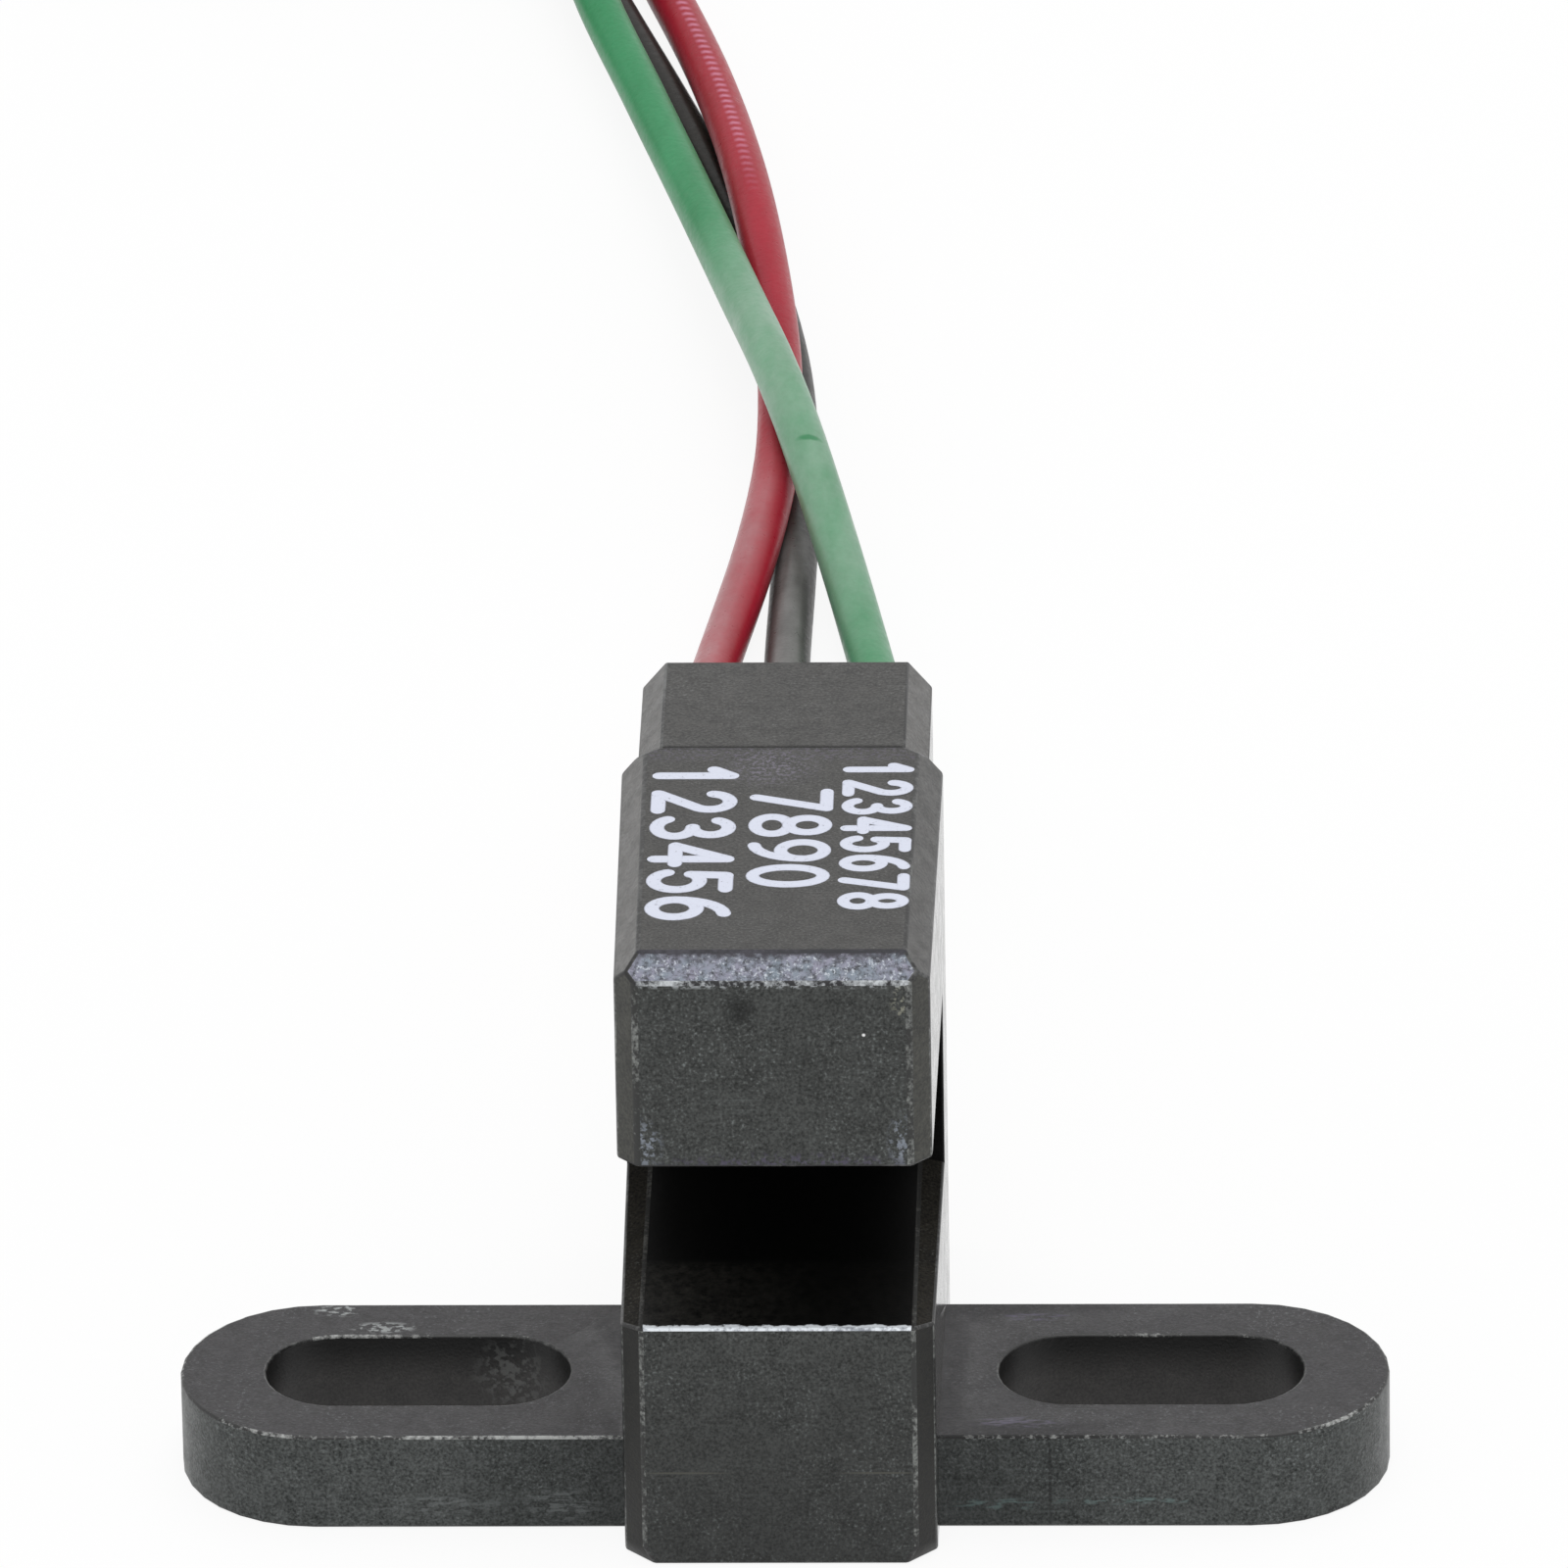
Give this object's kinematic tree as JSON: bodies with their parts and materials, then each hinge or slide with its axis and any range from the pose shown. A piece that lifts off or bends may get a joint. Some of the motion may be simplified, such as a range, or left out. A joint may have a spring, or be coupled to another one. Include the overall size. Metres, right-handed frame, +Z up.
{
  "type": "hall effect vane sensor",
  "caption": "Fork-shaped hall effect vane sensor: moulded housing with a vane slot and slotted mounting ears, a rear cap and coloured wire leads.",
  "frame": {"origin": "middle of the flat base under the housing and its rear cap, without the leads", "axes": "+X along the ears, +Y from the vane slot to the leads, +Z up from the base"},
  "size_m": [0.0346, 0.093, 0.0142],
  "materials": {
    "moulding": "fine moulded grain, scuffed edges",
    "epoxy": "cured potting",
    "chip_plastic": "moulded package",
    "tinned_metal": "tinned",
    "bare_copper": "bare stranded wire",
    "soft_iron": "stamped plate",
    "magnet": "sintered",
    "red_insulation": "soft satin insulation",
    "black_insulation": "soft satin insulation",
    "green_insulation": "soft satin insulation",
    "coil_insulation": "stands for the coiled leads",
    "tie": "thin band"
  },
  "bodies": {
    "root": {"housing": "moulding", "rear_cap": "moulding", "potting": "epoxy", "hall_chip": "chip_plastic", "chip_leg_supply": "tinned_metal", "chip_leg_ground": "tinned_metal", "chip_leg_signal": "tinned_metal", "solder_joint_red": "tinned_metal", "solder_joint_black": "tinned_metal", "solder_joint_green": "tinned_metal", "red_inner_wire": "bare_copper", "black_inner_wire": "bare_copper", "green_inner_wire": "bare_copper", "magnet": "magnet", "upper_pole_piece": "soft_iron", "lower_pole_piece": "soft_iron", "red_lead": "red_insulation", "black_lead": "black_insulation", "green_lead": "green_insulation", "lead_coil": "coil_insulation", "coil_tie": "tie", "red_wire_end": "tinned_metal", "black_wire_end": "tinned_metal", "green_wire_end": "tinned_metal"}
  },
  "joints": []
}
